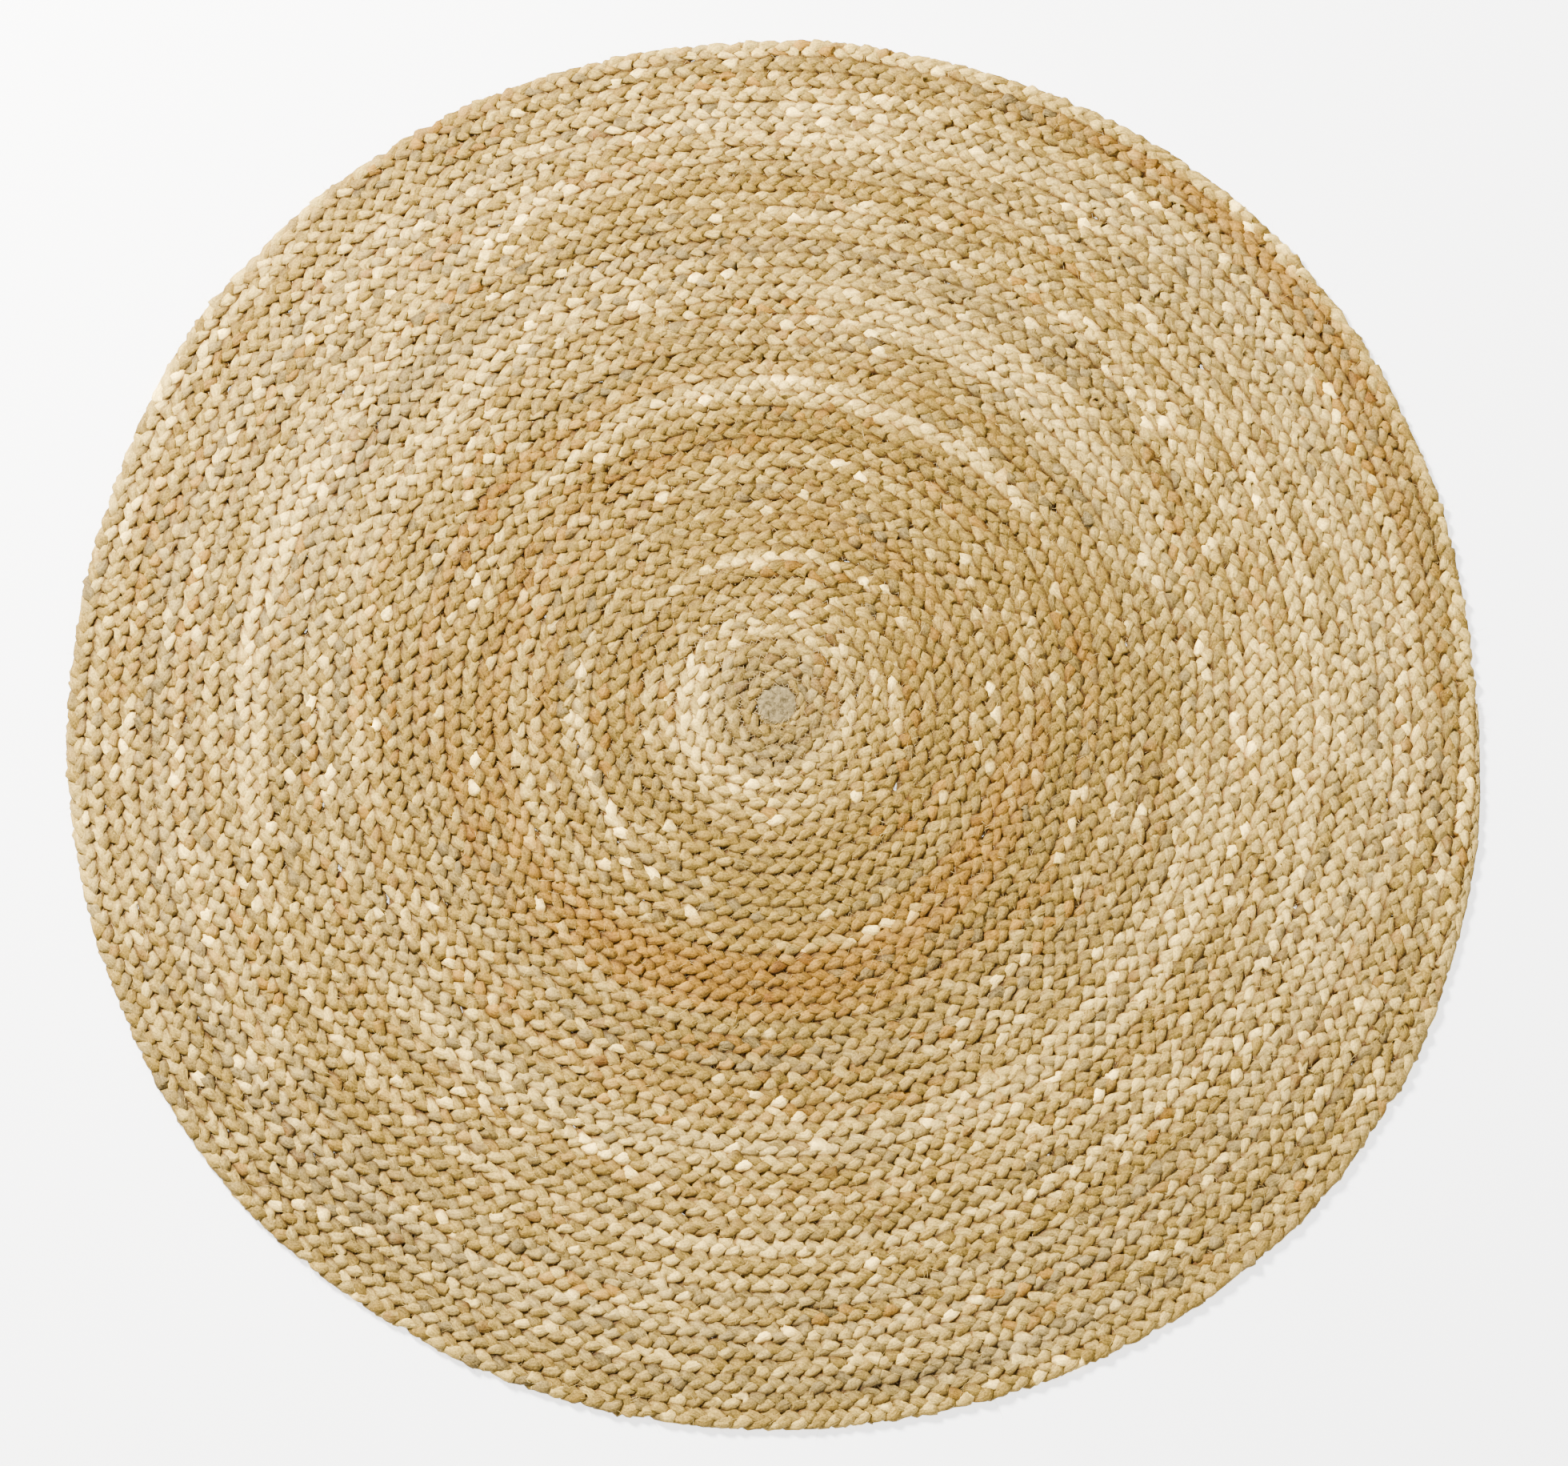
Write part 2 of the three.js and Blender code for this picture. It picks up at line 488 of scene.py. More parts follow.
def repeated(unit, count, offset, merge, shift_v):
    """The mesh of a unit that is repeated along X."""
    mesh = bpy.data.meshes.new("unit")
    unit.to_mesh(mesh)
    unit.free()
    holder = bpy.data.objects.new("unit", mesh)
    bpy.context.scene.collection.objects.link(holder)
    array = holder.modifiers.new("repeat", "ARRAY")
    array.count = count
    array.use_relative_offset = False
    array.use_constant_offset = True
    array.constant_offset_displace = (offset, 0, 0)
    array.use_merge_vertices = merge
    array.merge_threshold = 1e-5
    array.offset_v = shift_v
    evaluated = holder.evaluated_get(bpy.context.evaluated_depsgraph_get())
    result = bpy.data.meshes.new_from_object(evaluated)
    bpy.data.objects.remove(holder)
    bpy.data.meshes.remove(mesh)
    return result


def points_of(mesh):
    flat = np.empty(3 * len(mesh.vertices), dtype=np.float32)
    mesh.vertices.foreach_get("co", flat)
    return flat.reshape(-1, 3).astype(float)


def set_points(mesh, x, y, z):
    mesh.vertices.foreach_set("co", np.stack([x, y, z], axis=1).astype(np.float32).ravel())
    mesh.update()


def set_attribute(mesh, name, values):
    layer = mesh.attributes.new(name, "FLOAT", "POINT")
    layer.data.foreach_set("value", values.astype(np.float32))


def close_ends(mesh):
    """Fills the open ends of tubes."""
    bm = bmesh.new()
    bm.from_mesh(mesh)
    open_edges = [e for e in bm.edges if len(e.link_faces) == 1]
    bmesh.ops.holes_fill(bm, edges=open_edges, sides=0)
    bmesh.ops.recalc_face_normals(bm, faces=bm.faces)
    bm.to_mesh(mesh)
    bm.free()


# The strands of the plait

RING_SIDES = 8
TOP_STEPS = 4  # of a lobe that shows on top
BOTTOM_STEPS = 3  # of a lobe that shows underneath
TOP_SHARE = 0.35  # above 0, a strand comes up before it turns at the plait's edge
RISE_POWER = 0.4  # the lower, the flatter a strand runs on top, and the more steeply it dives
SLIMMEST, SWELLING, SWELLING_POWER = 0.74, 0.40, 0.8  # of a lobe's section, against the strand's
SHOULDERS = (1.14, 1.10, 1)  # these corners are drawn out, so that the section is a blunt oval


def strand_phases():
    """The phases of one period's rings: a lobe on top, one underneath, and the same again."""
    quarter = TURN / 4
    phases = [0.0]
    for lobe in range(4):
        steps = TOP_STEPS if lobe % 2 == 0 else BOTTOM_STEPS
        phases += [quarter * (lobe + (i + 1) / steps) for i in range(steps)]
    return phases


def strand_middle(s, phase):
    """Where a strand's middle is at a phase, across the plait and above its middle."""
    lift = np.sin(2 * phase - s.crossing_lag) + TOP_SHARE
    height = s.strand_rise * np.sign(lift) * np.abs(lift) ** RISE_POWER
    return s.strand_swing * np.cos(phase), height


def strand_slope(s, phase):
    """How steeply a strand runs across the plait."""
    return -s.strand_swing * TURN / s.plait_period * math.sin(phase)


def strand_station(s, phase, along):
    """The place of a ring: a unit circle in its XY plane becomes the strand's section."""
    across, height = strand_middle(s, phase)
    bulge = abs(math.sin(2 * phase - s.crossing_lag)) ** SWELLING_POWER
    plump = SLIMMEST + SWELLING * bulge
    run = Vector((1, strand_slope(s, phase), 0)).normalized()
    side = Vector((-run.y, run.x, 0))
    station = Matrix.Identity(4)
    station.col[0] = (*(side * s.strand_half_width * plump), 0)
    station.col[1] = (0, 0, s.strand_half_height * (0.35 + 0.6 * plump), 0)
    station.col[2] = (*run, 0)
    station.col[3] = (along, across, height, 1)
    return station


def drawn_on(bm, ring):
    """Extrudes a ring of edges where it lies. Returns the new ring's vertices and edges."""
    made = bmesh.ops.extrude_edge_only(bm, edges=ring)["geom"]
    verts = [g for g in made if isinstance(g, bmesh.types.BMVert)]
    new = set(verts)
    edges = [g for g in made if isinstance(g, bmesh.types.BMEdge) and set(g.verts) <= new]
    return verts, edges


def strand_unit(s, strand):
    """One period of one strand, laid straight along X, with U round it and V along it."""
    bm = bmesh.new()
    bmesh.ops.create_circle(bm, cap_ends=False, segments=RING_SIDES, radius=1)
    shoulders = [v for v in bm.verts if abs(v.co.x * v.co.y) > 0.1]
    bmesh.ops.scale(bm, vec=SHOULDERS, verts=shoulders)
    start = TURN * strand / 3
    phases = sorted((p - start) % TURN for p in strand_phases()[:-1])
    phases = ([] if phases[0] < 1e-6 else [0.0]) + [p if p > 1e-6 else 0.0 for p in phases] + [TURN]
    here = strand_station(s, start + phases[0], 0)
    bmesh.ops.transform(bm, matrix=here, verts=bm.verts)
    ring = list(bm.edges)
    stations = [0.0]
    for phase in phases[1:]:
        there = strand_station(s, start + phase, s.plait_period * phase / TURN)
        verts, ring = drawn_on(bm, ring)
        bmesh.ops.transform(bm, matrix=there @ here.inverted(), verts=verts)
        here = there
        stations.append(phase / TURN)
    map_strand(s, bm, start, stations)
    return bm


def map_strand(s, bm, start, stations):
    """Writes U round the strand and V along it, in periods."""
    layer = bm.loops.layers.uv.new("UVMap")
    bm.verts.index_update()
    rings = {v: stations[v.index // RING_SIDES] for v in bm.verts}
    for face in bm.faces:
        turns = []
        for loop in face.loops:
            v = rings[loop.vert]
            across, height = strand_middle(s, start + v * TURN)
            slant = math.cos(math.atan(strand_slope(s, start + v * TURN)))
            out = (loop.vert.co.y - across) / (slant * s.strand_half_width)
            up = (loop.vert.co.z - height) / s.strand_half_height
            turns.append((math.atan2(up, out) / TURN) % 1)
        wraps = max(turns) - min(turns) > 0.5
        for loop, u in zip(face.loops, turns):
            loop[layer].uv = (u + 1 if wraps and u < 0.5 else u, rings[loop.vert])


def ring_positions(mesh):
    """For each vertex, its ring's place along the strand, in periods."""
    loops = len(mesh.loops)
    uv = np.empty(2 * loops, dtype=np.float32)
    mesh.uv_layers["UVMap"].data.foreach_get("uv", uv)
    owners = np.empty(loops, dtype=np.int32)
    mesh.loops.foreach_get("vertex_index", owners)
    along = np.zeros(len(mesh.vertices))
    along[owners] = uv.reshape(-1, 2)[:, 1]
    return along


def marked_runs(rng, lobes, share, longest):
    """Marks on about that share of the lobes, in runs, because a fibre passes through several."""
    marks = np.zeros(lobes)
    for start in rng.integers(0, lobes, int(2 * lobes * share / longest)):
        marks[start : start + rng.integers(1, longest + 1)] = rng.uniform(0.45, 1)
    return marks


FARTHEST_SLIP = 0.009  # of the lobes along the plait
HELD_END = 0.3  # length over which each end of the plait comes to slip freely
FARTHEST_SWAY = 0.0007  # of the plait's middle to each side


class Yarn:
    """How one strand varies from lobe to lobe and over its length, for the whole plait."""

    def __init__(self, s, strand, whole, periods):
        rng = np.random.default_rng(s.seed * 100 + strand)
        lobes = 4 * periods + 8
        # How fat each lobe is, as a share. How far it moves up, sideways and ahead. How much it
        # slants and tilts, as slopes.
        self.fatness = rng.normal(0, 0.15, lobes)
        self.lift = rng.normal(0, 0.0005, lobes)
        self.slide = rng.normal(0, 0.0011, lobes)
        self.ahead = rng.normal(0, 0.0028, lobes)
        self.slant = rng.normal(0, 0.3, lobes)
        self.tilt = rng.normal(0, 0.16, lobes)
        # Its shade, and the marks that some lobes have.
        self.light = rng.beta(2.6, 2.6, lobes) + 1.5 * marked_runs(rng, lobes, 0.035, 4)
        self.golden = marked_runs(rng, lobes, 0.05, 9)
        self.murky = marked_runs(rng, lobes, 0.055, 6)
        self.rust = marked_runs(rng, lobes, 0.025, 4)
        # How the strand's thickness and colour drift along it.
        self.thick = smooth_noise(rng, whole, 0.35)
        self.shade = smooth_noise(rng, whole, 0.16)
        self.warm = smooth_noise(rng, whole, 0.7)
        self.weathered = smooth_noise(rng, whole, 1.1)


class Batch:
    """How the whole plait varies over its length, in all three strands together."""

    def __init__(self, s, whole):
        rng = np.random.default_rng(s.seed)
        self.whole = whole
        self.settling = smooth_noise(rng, whole, 0.13)
        self.sway = smooth_noise(rng, whole, 0.06)
        short, long = smooth_noise(rng, whole, 0.35), smooth_noise(rng, whole, 1.4)
        self.shade = lambda at: 0.6 * short(at) + 0.8 * long(at)
        self.warm = smooth_noise(rng, whole, 0.9)
        self.weathered = smooth_noise(rng, whole, 1.2)

    def settle(self, at):
        """How far the lobes have slipped along the plait, which is nothing at its two ends."""
        ends = np.minimum(1, np.minimum(at, self.whole - at) / HELD_END)
        return FARTHEST_SLIP * self.settling(at) * np.maximum(ends, 0)


# Lots of jute. In each: distance from the centre and half width in metres, azimuth and half angle
# in degrees, and strength.
WARM_LOTS = (
    (0.288, 0.026, -95, 46, 1.1),
    (0.262, 0.035, -30, 32, 0.5),
    (0.345, 0.014, 205, 35, 0.5),
    (0.375, 0.014, 150, 40, 0.45),
    (0.25, 0.018, 178, 26, 0.4),
    (0.215, 0.022, 62, 40, 0.35),
    (0.33, 0.014, 40, 45, 0.35),
    (0.415, 0.02, -115, 50, 0.3),
    (0.735, 0.016, 40, 22, 0.8),
    (0.70, 0.02, 12, 26, 0.4),
    (0.66, 0.05, 104, 24, 0.25),
    (0.61, 0.016, 186, 14, 0.5),
)
PALE_LOTS = (
    (0.44, 0.022, 58, 26, 0.3),
    (0.55, 0.025, 163, 26, 0.55),
    (0.62, 0.10, -5, 34, 0.2),
    (0.355, 0.012, 100, 50, 0.5),
    (0.165, 0.008, 100, 40, 0.7),
    (0.09, 0.04, 200, 60, 0.35),
    (0.07, 0.05, 0, 900, 0.15),
    (0.47, 0.02, -60, 40, 0.2),
    (0.21, 0.01, -160, 40, 0.5),
)
GREY_LOTS = (
    (0.58, 0.09, 152, 34, 0.4),
    (0.50, 0.02, 66, 24, 0.35),
    (0.045, 0.045, 0, 900, 0.7),
    (0.68, 0.03, -140, 34, 0.3),
    (0.66, 0.04, 45, 16, 0.25),
    (0.71, 0.014, -72, 14, 0.5),
)

OUTER_JUTE = 0.38  # distance from the centre at which the plait's jute changes
CLEAR_HEIGHT, RECESS_FADE = 0.0039, 0.0028  # this far from the plait's middle, a lobe stands clear of the painted shade
SEAM_SIDE, SEAM_FADE = 0.0066, 0.0018  # this far to the side, a lobe starts to dip into the seam and its painted shade
RIM_SIDE, RIM_PAINTED_SHADE = 0.003, 0.25  # the last turn's outer side is open to the light, so its painted shade is weaker
LENGTH_SHIFT, STRAND_SHIFT = 0.37, 5.1  # of the fibres' pattern, so that no two lengths look alike


def share_of(lots, x, y):
    """How strongly a colour's lots show at a place."""
    radius, azimuth = np.hypot(x, y), np.degrees(np.arctan2(y, x))
    total = 0
    for middle, half_width, towards, half_angle, strength in lots:
        off = (azimuth - towards + 180) % 360 - 180
        outwards = ((radius - middle) / half_width) ** 2
        total = total + strength * np.exp(-outwards - (off / half_angle) ** 2)
    return total


def lay_strand(s, winding, mesh, strand, yarn, batch, first_period, period):
    """Lays a straight strand along the winding and gives each lobe its own shape and shade."""
    points = points_of(mesh)
    local = ring_positions(mesh)
    along = local + first_period
    phase = TURN * (local + strand / 3)
    across, height = strand_middle(s, phase)
    off_middle = points[:, 1] - across
    lobe = np.floor(TURN * (along + strand / 3) / (TURN / 4) + 1e-6).astype(int)
    swell = np.sin(2 * phase) ** 2
    distance = along * period
    fat = 1 + swell * yarn.fatness[lobe] + 0.07 * yarn.thick(distance)
    out = across + off_middle * fat + swell * yarn.slide[lobe]
    up = height + (points[:, 2] - height) * (1 + 0.4 * (fat - 1)) + swell * yarn.lift[lobe]
    up = up + swell * yarn.tilt[lobe] * off_middle
    turned = swell * yarn.slant[lobe] * np.sign(-np.sin(2 * phase) * np.cos(phase))
    ahead = points[:, 0] - local * s.plait_period + turned * off_middle
    reach = distance + ahead + swell * yarn.ahead[lobe] + batch.settle(distance)
    azimuth = winding.azimuth_at(np.clip(reach, 0, winding.lengths[-1]))
    share = winding.plait_width(azimuth) / winding.width
    sway = FARTHEST_SWAY * batch.sway(distance)
    radius = winding.inner(azimuth) + winding.plait_width(azimuth) / 2 + (out + sway) * share
    x, y = winding.place(azimuth, radius)
    z = s.braid_thickness / 2 + up * (0.55 + 0.45 * share)
    set_points(mesh, x, y, np.maximum(z, FLOOR_GAP))
    colour_strand(mesh, x, y, yarn, batch, lobe, distance)
    # Painted shade between lobes and in the seams, weaker on the rim's open outer side.
    at_rim = (azimuth > winding.tail_end - TURN) & (out > RIM_SIDE)
    set_attribute(mesh, "recess", painted_shade_at(out, up) * np.where(at_rim, RIM_PAINTED_SHADE, 1))


def painted_shade_at(out, up):
    """How deep between lobes a point lies, from 0 to 1, by its place in the plait's section: its
    share of painted shade.
    """
    sunk = np.clip((CLEAR_HEIGHT - np.abs(up)) / RECESS_FADE, 0, 1)
    in_seam = np.clip((np.abs(out) - SEAM_SIDE) / SEAM_FADE, 0, 1)
    return np.minimum(1, sunk + 0.7 * in_seam)


def colour_strand(mesh, x, y, yarn, batch, lobe, distance):
    """Writes what the strand's finish reads. The jute of the outer turns is paler and greyer."""
    warm, pale, grey = (share_of(lots, x, y) for lots in (WARM_LOTS, PALE_LOTS, GREY_LOTS))
    murky = yarn.murky[lobe]
    outer = np.clip((np.hypot(x, y) - OUTER_JUTE) / 0.06, -1, 1)
    light = 0.42 + 0.5 * (yarn.light[lobe] - 0.5) + pale - 0.25 * murky + 0.12 * outer
    light = light + 0.22 * yarn.shade(distance) + 0.15 * batch.shade(distance)
    warmth = 0.1 + 1.2 * warm + yarn.golden[lobe] - 0.07 * outer
    warmth = warmth + 0.35 * yarn.warm(distance) + 0.42 * batch.warm(distance)
    worn = 0.2 + 1.2 * grey + 0.6 * murky + 0.1 * outer
    worn = worn + 0.35 * yarn.weathered(distance) + 0.3 * batch.weathered(distance)
    set_attribute(mesh, "lobe_light", light)
    set_attribute(mesh, "warmth", warmth)
    set_attribute(mesh, "greyness", worn)
    set_attribute(mesh, "rust", yarn.rust[lobe] * (0.6 + 0.6 * warm))


def shift_v(mesh, by):
    """Moves where V starts."""
    data = mesh.uv_layers["UVMap"].data
    uv = np.empty(2 * len(mesh.loops), dtype=np.float32)
    data.foreach_get("uv", uv)
    uv[1::2] += by
    data.foreach_set("uv", uv)


class RUG_OT_strands(bpy.types.Operator):
    """Plait the three strands of every length and lay them along the winding"""

    bl_idname = "rug.strands"
    bl_label = "Plait strands"

    def execute(self, context):
        s = sizes()
        winding = Winding(s)
        whole = winding.lengths[-1]
        each = round(whole / s.plait_period / len(LENGTHS))
        periods = each * len(LENGTHS)
        period = whole / periods
        batch = Batch(s, whole)
        finish = finish_named("jute_strand", strand_finish)
        for strand in range(3):
            yarn = Yarn(s, strand, whole, periods)
            straight = repeated(strand_unit(s, strand), each, s.plait_period, True, 1.0)
            close_ends(straight)
            for i, node in enumerate(LENGTHS):
                mesh = straight.copy()
                mesh.name = f"strand_{strand + 1}_of_length_{i + 1:02d}"
                lay_strand(s, winding, mesh, strand, yarn, batch, i * each, period)
                shift_v(mesh, LENGTH_SHIFT * i + STRAND_SHIFT * strand)
                new_piece(mesh.name, mesh, finish, [node])
            bpy.data.meshes.remove(straight)
        return {"FINISHED"}


# The stitches

THREAD_DEPTH = 0.0026  # of each thread below the plait's face, or above its back
THREAD_SINK = 0.0006  # how much deeper it goes at each needle hole
PROUD_MIDDLE, PROUD_WITHIN = 0.0024, 0.2  # the tight turns near the middle push it out, and how far
THREAD_PARTS = 2


def stitch_unit(s):
    """One zigzag of the thread: out to one needle hole and back to the other, three-sided."""
    bm = bmesh.new()
    bmesh.ops.create_circle(bm, cap_ends=False, segments=3, radius=s.thread_radius)
    to_run = Matrix.Rotation(math.pi / 2, 4, "Y")
    start = Matrix.Translation((0, -s.stitch_reach, 0))
    bmesh.ops.transform(bm, matrix=start @ to_run, verts=bm.verts)
    ring = list(bm.edges)
    for side in (1, -1):
        verts, ring = drawn_on(bm, ring)
        step = (s.stitch_length / 2, side * 2 * s.stitch_reach, 0)
        bmesh.ops.translate(bm, vec=step, verts=verts)
    bm.loops.layers.uv.new("UVMap")
    return bm


def seam_thread(s, winding, node, face, part):
    """A stretch of one thread of the lockstitch, along every seam. Its face is 1 on top, or -1."""
    middle = winding.seam(winding.azimuths)
    steps = np.diff(winding.azimuths) * (middle[1:] + middle[:-1]) / 2
    seam_lengths = np.concatenate([[0], np.cumsum(steps)])
    whole = seam_lengths[-1]
    count = int(whole / THREAD_PARTS / s.stitch_length)
    mesh = repeated(stitch_unit(s), count, s.stitch_length, True, 0)
    points = points_of(mesh)
    rng = np.random.default_rng(s.seed + 11 + part)
    distance = points[:, 0] + part * whole / THREAD_PARTS
    wander = smooth_noise(rng, whole, 0.05)(distance)
    tug = smooth_noise(rng, whole, 0.011)(distance)
    azimuth = np.interp(distance, seam_lengths, winding.azimuths)
    seam = winding.seam(azimuth)
    x, y = winding.place(azimuth, seam + points[:, 1] * (1 + 0.2 * wander) + 0.0003 * tug)
    deep = np.abs(points[:, 1]) > s.stitch_reach / 2
    proud = PROUD_MIDDLE * np.exp(-((seam / PROUD_WITHIN) ** 2))
    lift = s.braid_thickness / 2 - THREAD_DEPTH + proud - np.where(deep, THREAD_SINK, 0)
    z = s.braid_thickness / 2 + face * lift + points[:, 2] + 0.0004 * tug
    set_points(mesh, x, y, np.maximum(z, FLOOR_GAP))
    close_ends(mesh)
    finish = finish_named("sewing_thread", thread_finish)
    new_piece(f"{node}_{part + 1}", mesh, finish, [node])


class RUG_OT_stitches(bpy.types.Operator):
    """Sew the turns together with the needle thread on top and the bobbin thread underneath"""

    bl_idname = "rug.stitches"
    bl_label = "Sew turns together"

    def execute(self, context):
        s = sizes()
        winding = Winding(s)
        for part in range(THREAD_PARTS):
            seam_thread(s, winding, "needle_thread", 1, part)
            seam_thread(s, winding, "bobbin_thread", -1, part)
        return {"FINISHED"}


# Loose fibres

LOOSE_RADIUS, RIM_RADIUS, TUFT_RADIUS = 0.00015, 0.00013, 0.00014
RIM_COUNT, TUFT_COUNT = 900, 700
LEAST_BEND = 0.05


def fibre_unit():
    """A single fibre along X, one long, that thins towards its end."""
    bm = bmesh.new()
    bmesh.ops.create_cone(bm, cap_ends=True, segments=3, radius1=1, radius2=0.35, depth=1)
    long_edges = [e for e in bm.edges if abs(e.verts[0].co.z - e.verts[1].co.z) > 0.5]
    bmesh.ops.subdivide_edges(bm, edges=long_edges, cuts=1)
    bmesh.ops.translate(bm, vec=(0, 0, 0.5), verts=bm.verts)
    bmesh.ops.rotate(bm, matrix=Matrix.Rotation(math.pi / 2, 3, "Y"), verts=bm.verts)
    bm.loops.layers.uv.new("UVMap")
    return bm


def scatter_fibres(name, slot, finish, roots, headings, lengths, rises, bends, radius):
    """Places one fibre at each root. Bends are the angle that it curls through along its length."""
    unit = fibre_unit()
    corners = len(unit.verts)
    count = len(lengths)
    mesh = repeated(unit, count, 0, False, 0)
    points = points_of(mesh)
    which = np.repeat(np.arange(count), corners)
    along = points[:, 0]
    length, bend = lengths[which], bends[which]
    bend = np.where(np.abs(bend) < LEAST_BEND, LEAST_BEND, bend)
    curl = bend * along
    forward = length * np.sin(curl) / bend
    sideways = length * (1 - np.cos(curl)) / bend + radius * points[:, 1]
    heading = headings[which]
    x = roots[which, 0] + forward * np.cos(heading) - sideways * np.sin(heading)
    y = roots[which, 1] + forward * np.sin(heading) + sideways * np.cos(heading)
    z = roots[which, 2] + rises[which] * along * (1.6 - 0.6 * along) + radius * points[:, 2]
    set_points(mesh, x, y, np.maximum(z, FLOOR_GAP))
    new_piece(name, mesh, finish, [])


class RUG_OT_loose_fibres(bpy.types.Operator):
    """Draw out the fibre ends that stand up from the plait and out of its rim"""

    bl_idname = "rug.loose_fibres"
    bl_label = "Loose fibres"

    def execute(self, context):
        s = sizes()
        winding = Winding(s)
        rng = np.random.default_rng(s.seed + 40)
        finish = finish_named("loose_fibre", fibre_finish)
        count = s.loose_fibres
        distance = rng.uniform(0, winding.lengths[-1], count)
        azimuth = winding.azimuth_at(distance)
        share = rng.uniform(0, 1, count)
        radius = winding.inner(azimuth) + share * winding.plait_width(azimuth)
        x, y = winding.place(azimuth, radius)
        dip = 0.0016 * (2 * share - 1) ** 2
        roots = np.stack([x, y, s.braid_thickness - 0.0005 - dip], axis=1)
        headings = azimuth + rng.normal(math.pi / 2, 0.9, count)
        lengths = rng.gamma(4, 0.0022, count) + 0.003
        rises = np.minimum(rng.gamma(1.5, 0.0007, count) + 0.0002, 0.0055)
        bends = rng.normal(0, 1.1, count)
        laid = (roots, headings, lengths, rises, bends)
        scatter_fibres("loose_fibres", "jute", finish, *laid, LOOSE_RADIUS)
        self.rim(winding, rng, finish)
        return {"FINISHED"}

    def rim(self, winding, rng, finish):
        azimuth = rng.uniform(winding.tail_end - TURN, winding.tail_end, RIM_COUNT)
        radius = winding.inner(azimuth) + winding.plait_width(azimuth) - 0.0012
        x, y = winding.place(azimuth, radius)
        roots = np.stack([x, y, rng.uniform(0.001, 0.007, RIM_COUNT)], axis=1)
        headings = azimuth + rng.normal(0.7, 0.6, RIM_COUNT)
        lengths = rng.gamma(3, 0.0022, RIM_COUNT) + 0.002
        rises = rng.normal(0, 0.001, RIM_COUNT)
        bends = rng.normal(0, 1.2, RIM_COUNT)
        laid = (roots, headings, lengths, rises, bends)
        scatter_fibres("rim_fibres", "jute", finish, *laid, RIM_RADIUS)


# The centre button

BUTTON_FACE = 0.0043  # from the button's middle to either face


class RUG_OT_centre_button(bpy.types.Operator):
    """Felt the centre button that the plait is wound round"""

    bl_idname = "rug.centre_button"
    bl_label = "Centre button"

    def execute(self, context):
        s = sizes()
        low, high = (Vector(corner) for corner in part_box("centre_button"))
        middle = (low + high) / 2
        bm = bmesh.new()
        bmesh.ops.create_icosphere(bm, subdivisions=5, radius=1)
        bmesh.ops.scale(bm, vec=(s.button_radius, s.button_radius, 1), verts=bm.verts)
        mesh = bpy.data.meshes.new("centre_button")
        bm.to_mesh(mesh)
        bm.free()
        points = points_of(mesh)
        x, y, z = points.T
        angle = np.arctan2(y, x)
        reach = np.hypot(x, y) / s.button_radius
        full = 1 - reach**4
        tufts = np.cos(5 * angle + 9 * reach) * np.cos(8 * reach)
        tufts = tufts + 0.6 * np.cos(9 * angle - 14 * reach + 1)
        lumps = np.sin(410 * x + 1) * np.sin(380 * y) + 0.5 * np.sin(900 * x + 700 * y)
        height = BUTTON_FACE * (1 - reach**6) ** 0.5
        height = height + full * (0.0006 * tufts + 0.0004 * lumps - 0.0007)
        z = np.clip(np.sign(z) * height + middle.z, FLOOR_GAP, s.braid_thickness)
        swell = 1.03 + 0.02 * np.sin(7 * angle) + 0.015 * np.sin(13 * angle + 1)
        set_points(mesh, middle.x + x * swell, middle.y + y * swell, z)
        finish = finish_named("matted_felt", felt_finish)
        new_piece("centre_button_felt", mesh, finish, ["centre_button"])
        self.tufts(s, middle, finish)
        return {"FINISHED"}

    def tufts(self, s, middle, finish):
        rng = np.random.default_rng(s.seed + 5)
        reach = s.button_radius * np.sqrt(rng.uniform(0, 1, TUFT_COUNT))
        angle = rng.uniform(0, TURN, TUFT_COUNT)
        height = s.braid_thickness - 0.0009 - 0.003 * (reach / s.button_radius) ** 5
        x, y = middle.x + reach * np.cos(angle), middle.y + reach * np.sin(angle)
        roots = np.stack([x, y, height], axis=1)
        headings = angle + rng.normal(0.9, 0.8, TUFT_COUNT)
        lengths = rng.gamma(4, 0.0011, TUFT_COUNT) + 0.002
        rises = rng.gamma(1.5, 0.0002, TUFT_COUNT)
        bends = rng.normal(0, 1.5, TUFT_COUNT)
        laid = (roots, headings, lengths, rises, bends)
        scatter_fibres("centre_tufts", "felt", finish, *laid, TUFT_RADIUS)


# The studio

LENS, SENSOR = 85, 36  # millimetres
ELEVATION = math.radians(78.48)  # of the camera above the floor
CAMERA_DISTANCE = 3.906
AIM = (0.0076, -0.0301, 0.0045)  # from the foot of the winding's axis
FLOOR_HALF = 30
SKY_STRENGTH = 0.72
LIGHTS = (  # name, place, side, watts, tint
    ("key", (-2.2, 2.4, 2.6), 0.9, 1250, (1, 0.985, 0.95)),
    ("fill", (2.6, -1.4, 2.4), 2.4, 70, (0.98, 0.99, 1)),
)


def soft_light(name, place, side, power, tint):
    """A square light that faces the rug."""
    lamp = bpy.data.lights.new(name, "AREA")
    lamp.shape = "RECTANGLE"
    lamp.size, lamp.size_y = side, side
    lamp.energy = power
    lamp.color = tint
    holder = bpy.data.objects.new(name, lamp)
    holder.location = place
    holder.rotation_euler = (-Vector(place)).to_track_quat("-Z", "Y").to_euler()
    bpy.context.scene.collection.objects.link(holder)


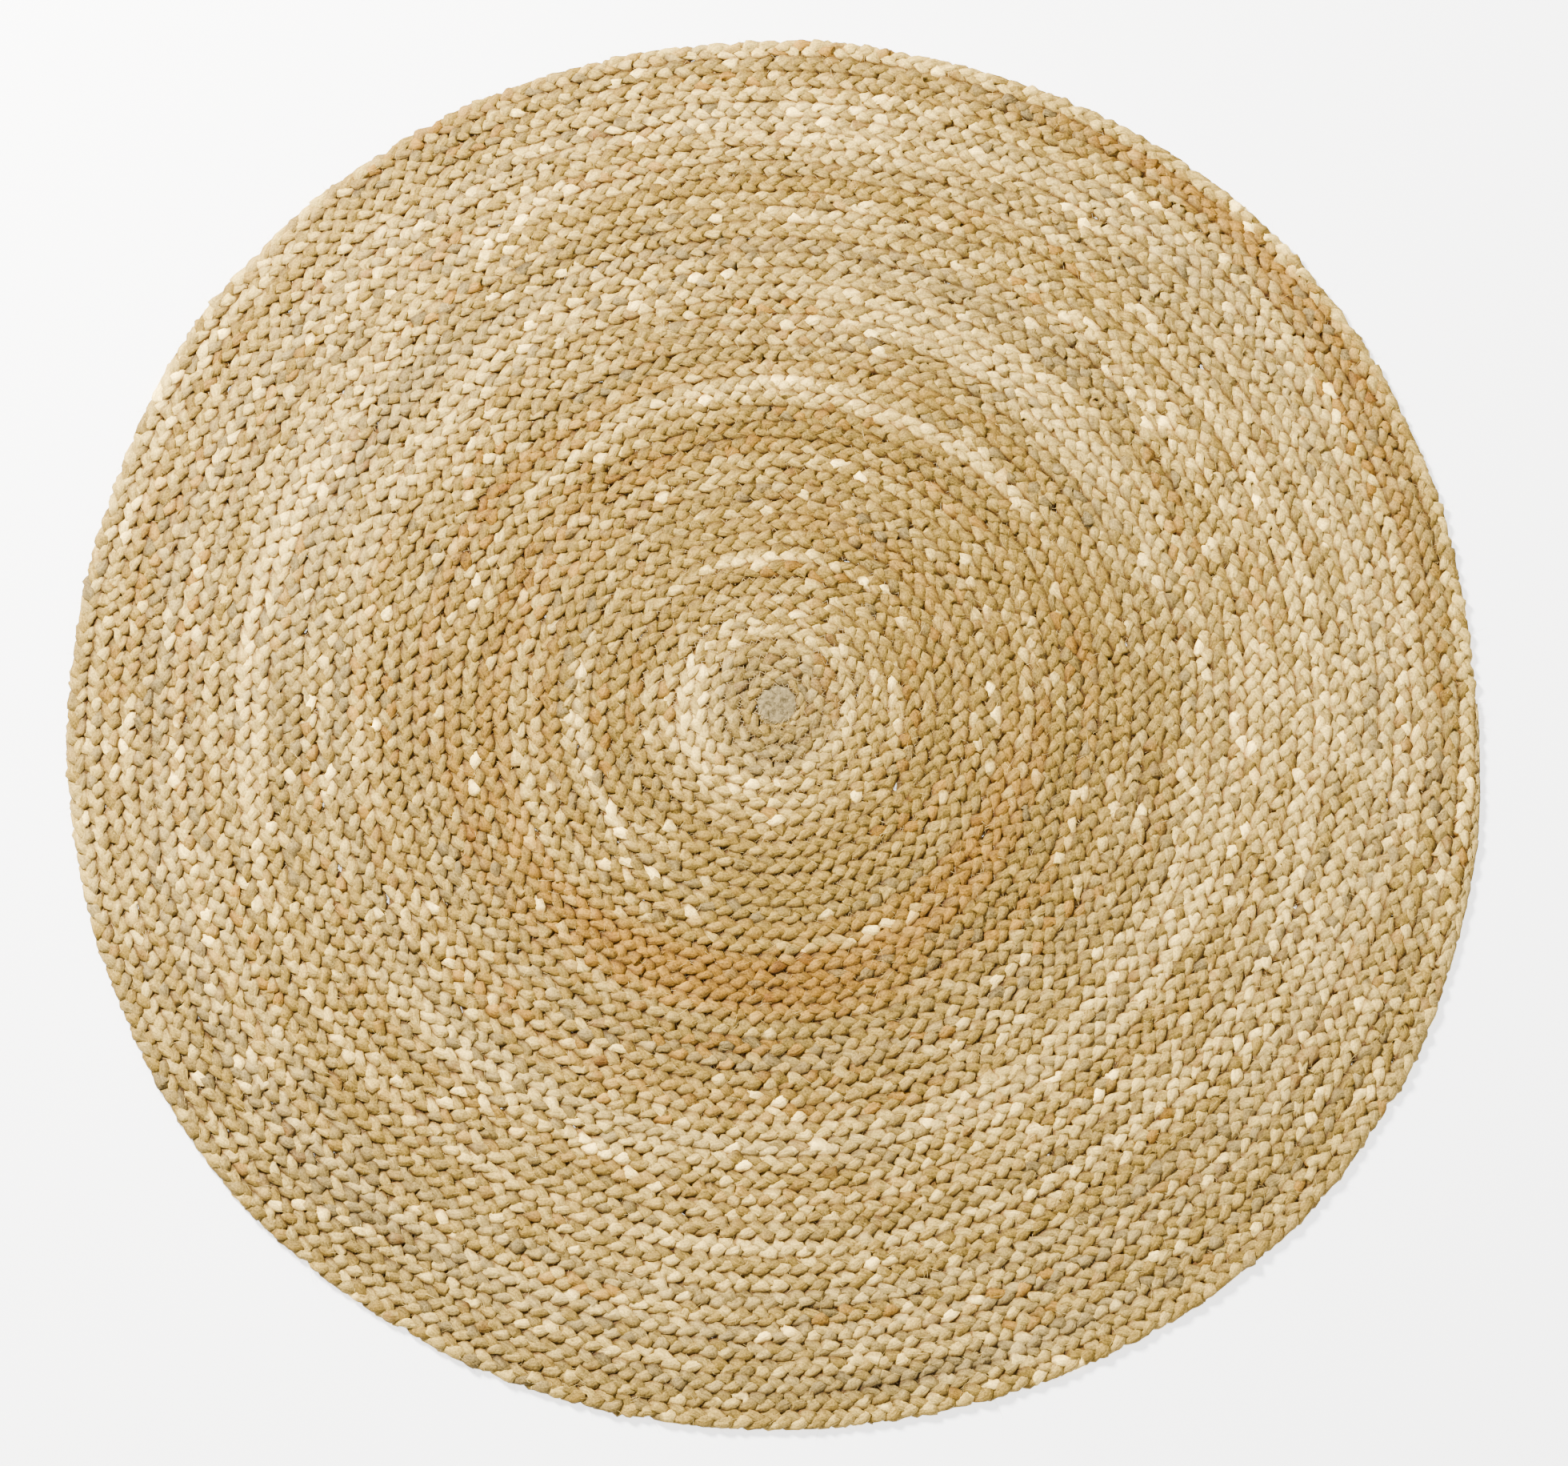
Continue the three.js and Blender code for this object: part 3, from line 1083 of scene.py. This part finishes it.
class RUG_OT_studio(bpy.types.Operator):
    """Set up the pale floor, the soft light and the camera above the rug"""

    bl_idname = "rug.studio"
    bl_label = "Studio"

    def execute(self, context):
        self.camera(Winding(sizes()).axis)
        self.floor()
        self.lights()
        return {"FINISHED"}

    def camera(self, axis):
        lens = bpy.data.cameras.new("camera")
        lens.lens = LENS
        lens.sensor_width = SENSOR
        holder = bpy.data.objects.new("camera", lens)
        tilt = math.pi / 2 - ELEVATION
        back = Vector((0, -math.sin(tilt), math.cos(tilt)))
        aim = Vector((*axis, 0)) + Vector(AIM)
        holder.location = aim + back * CAMERA_DISTANCE
        holder.rotation_euler = (tilt, 0, 0)
        bpy.context.scene.collection.objects.link(holder)
        bpy.context.scene.camera = holder

    def floor(self):
        bm = bmesh.new()
        bmesh.ops.create_grid(bm, x_segments=1, y_segments=1, size=FLOOR_HALF)
        mesh = bpy.data.meshes.new("floor")
        bm.to_mesh(mesh)
        bm.free()
        mesh.materials.append(floor_finish())
        floor = bpy.data.objects.new("floor", mesh)
        bpy.context.scene.collection.objects.link(floor)

    def lights(self):
        world = bpy.data.worlds.new("studio")
        bpy.context.scene.world = world
        world.use_nodes = True
        sky = world.node_tree.nodes["Background"]
        sky.inputs[0].default_value = (1, 1, 1, 1)
        sky.inputs[1].default_value = SKY_STRENGTH
        for light in LIGHTS:
            soft_light(*light)


class RUG_PT_panel(bpy.types.Panel):
    bl_label = "Plaited jute rug"
    bl_idname = "RUG_PT_panel"
    bl_space_type = "VIEW_3D"
    bl_region_type = "UI"
    bl_category = "Rug"

    def draw(self, context):
        for group in (context.scene.rug_sizes, context.scene.rug_colours):
            for name in group.__annotations__:
                self.layout.prop(group, name)
        for operator in OPERATORS:
            self.layout.operator(operator.bl_idname)


OPERATORS = (
    RUG_OT_studio,
    RUG_OT_centre_button,
    RUG_OT_strands,
    RUG_OT_stitches,
    RUG_OT_loose_fibres,
)
CLASSES = (RugSizes, RugColours, *OPERATORS, RUG_PT_panel)


def register():
    for made in CLASSES:
        bpy.utils.register_class(made)
    bpy.types.Scene.rug_sizes = PointerProperty(type=RugSizes)
    bpy.types.Scene.rug_colours = PointerProperty(type=RugColours)


def unregister():
    del bpy.types.Scene.rug_colours
    del bpy.types.Scene.rug_sizes
    for made in reversed(CLASSES):
        bpy.utils.unregister_class(made)


def main():
    register()
    bpy.ops.rug.studio()
    bpy.ops.rug.centre_button()
    bpy.ops.rug.strands()
    bpy.ops.rug.stitches()
    bpy.ops.rug.loose_fibres()


if __name__ == "__main__":
    main()
